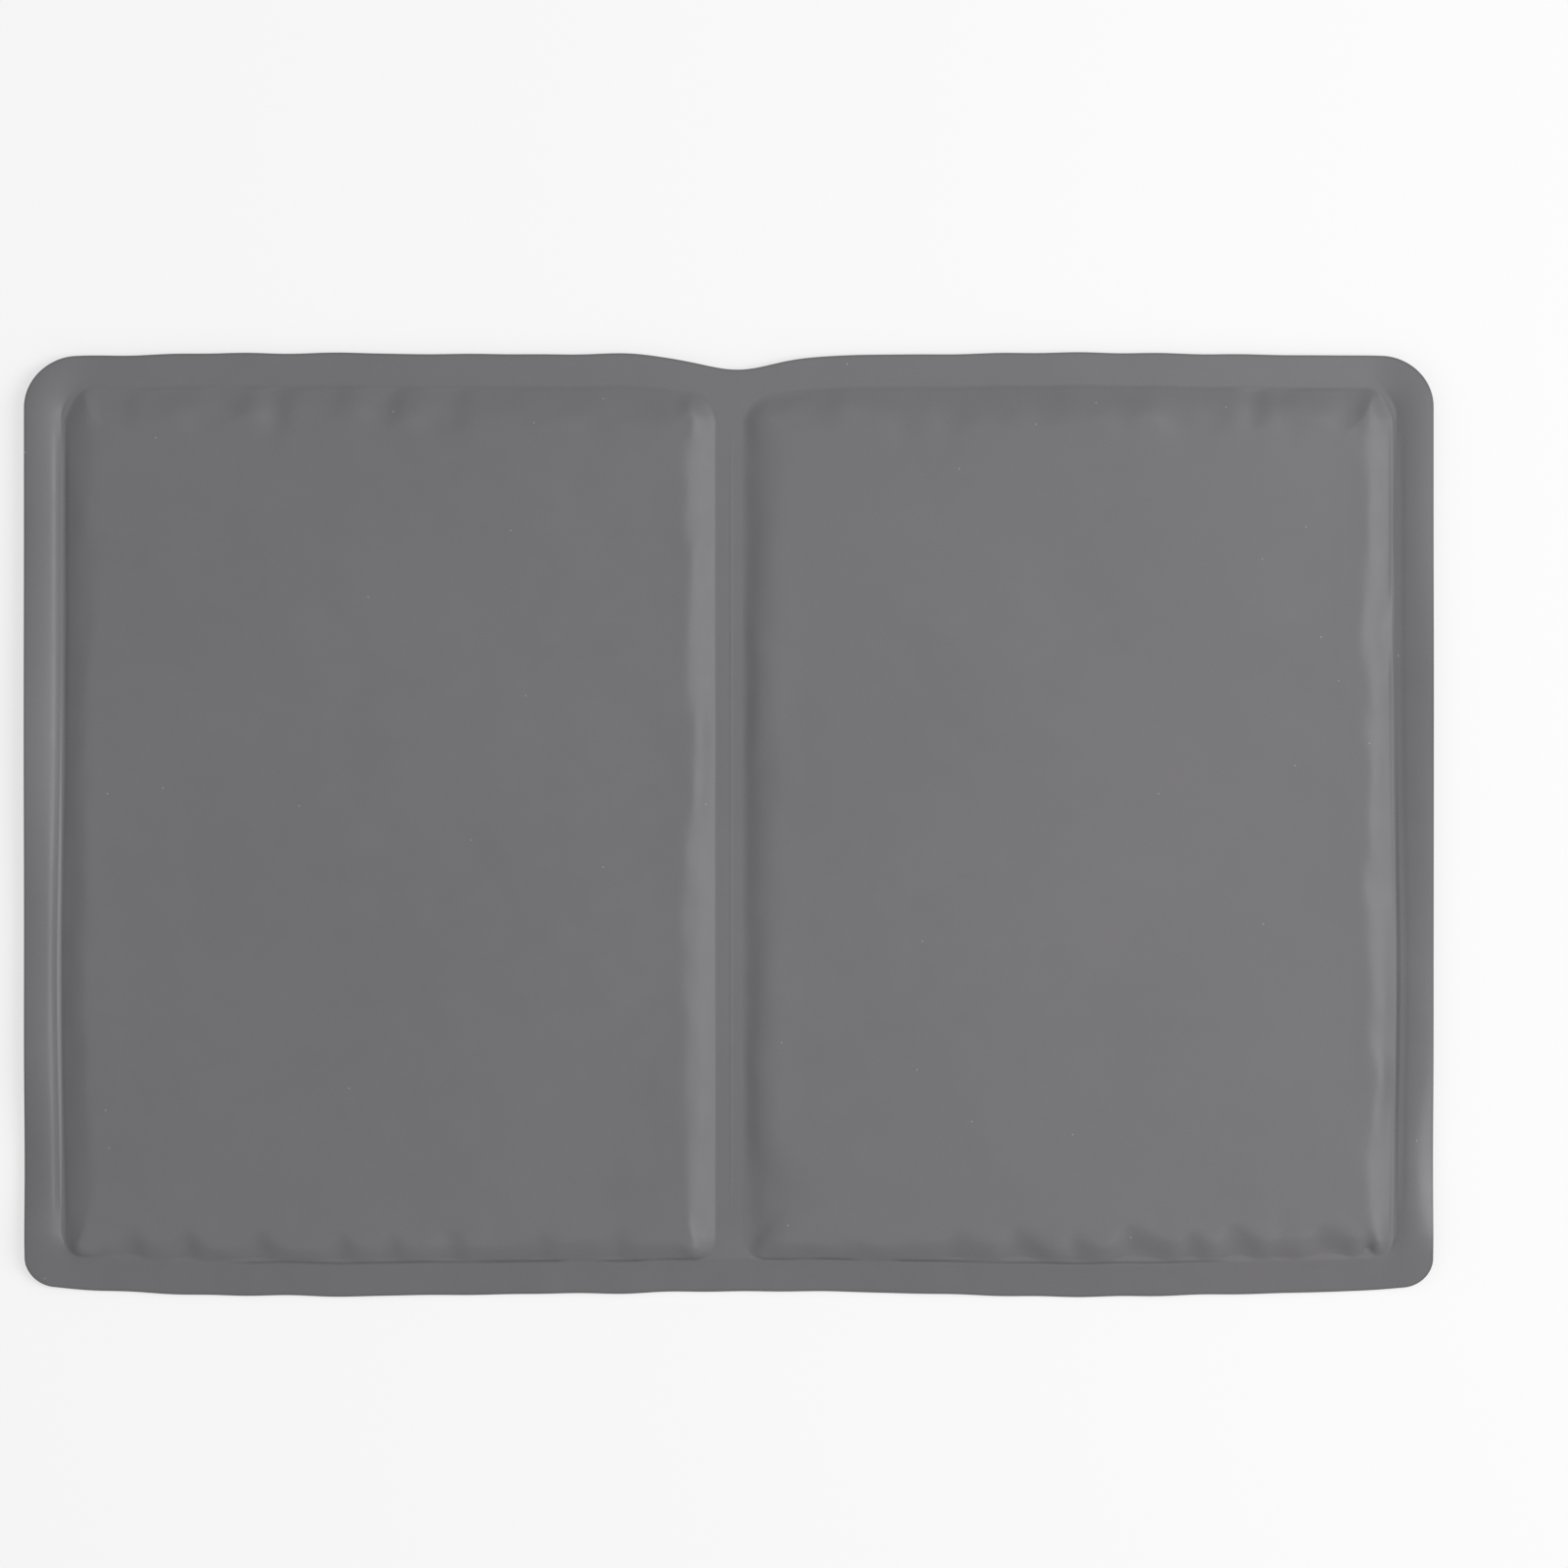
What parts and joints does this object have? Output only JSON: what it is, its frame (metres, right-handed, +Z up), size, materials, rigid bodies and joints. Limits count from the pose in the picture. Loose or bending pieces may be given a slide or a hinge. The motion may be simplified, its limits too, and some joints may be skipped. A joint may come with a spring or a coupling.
{
  "type": "gel cooling pad",
  "caption": "Flat gel-filled cooling pad of welded coated fabric, with a wide flat rim and a welded fold band between its chambers, so one panel folds onto the other.",
  "frame": {"origin": "middle of the fold band in plan, on the plane that the pad rests on", "axes": "+X across both panels, +Y to the back edge, +Z up"},
  "size_m": [0.6, 0.4, 0.0094],
  "materials": {
    "cover_sheet": "matte",
    "gel": "satin",
    "foam": "matte"
  },
  "bodies": {
    "left_panel": {"upper_cover_left": "cover_sheet", "lower_cover_left": "cover_sheet", "upper_gel_left": "gel", "lower_gel_left": "gel", "foam_core_left": "foam"},
    "fold_band": {"upper_fold_web": "cover_sheet", "lower_fold_web": "cover_sheet"},
    "right_panel": {"upper_cover_right": "cover_sheet", "lower_cover_right": "cover_sheet", "upper_gel_right": "gel", "lower_gel_right": "gel", "foam_core_right": "foam"}
  },
  "joints": [
    {"name": "left_crease", "type": "hinge", "parent": "left_panel", "child": "fold_band", "pos_m": [-0.0051, 0, 0.0047], "axis": [0, -1, 0], "range_deg": [-90, 90]},
    {"name": "right_crease", "type": "hinge", "parent": "fold_band", "child": "right_panel", "pos_m": [0.0051, 0, 0.0047], "axis": [0, -1, 0], "range_deg": [-90, 90]}
  ],
  "couplings": [
    {"joint": "right_crease", "follows": "left_crease", "ratio": 1}
  ]
}
